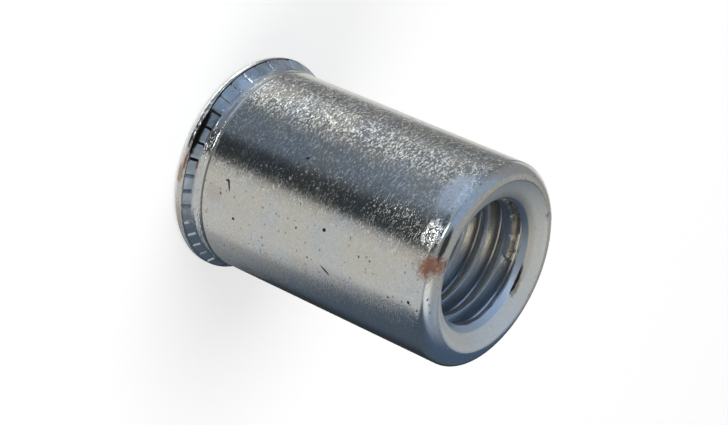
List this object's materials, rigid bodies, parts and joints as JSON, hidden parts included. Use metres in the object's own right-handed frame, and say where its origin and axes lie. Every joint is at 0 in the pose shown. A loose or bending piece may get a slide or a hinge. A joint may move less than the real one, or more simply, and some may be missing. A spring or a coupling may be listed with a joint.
{
  "type": "blind rivet nut",
  "caption": "Round open-ended blind rivet nut: a smooth shank with a small flanged head, locking pads under the head and an internally threaded end.",
  "frame": {"origin": "centre of the head face, where the bore's axis meets it", "axes": "+Z along the bore, from the head face towards the threaded end"},
  "size_m": [0.0118, 0.0118, 0.0163],
  "materials": {
    "zinc_plating": "bright blue-passivated zinc over steel, satin, with small specks and traces of rust"
  },
  "bodies": {
    "root": {"insert": "zinc_plating"}
  },
  "joints": []
}
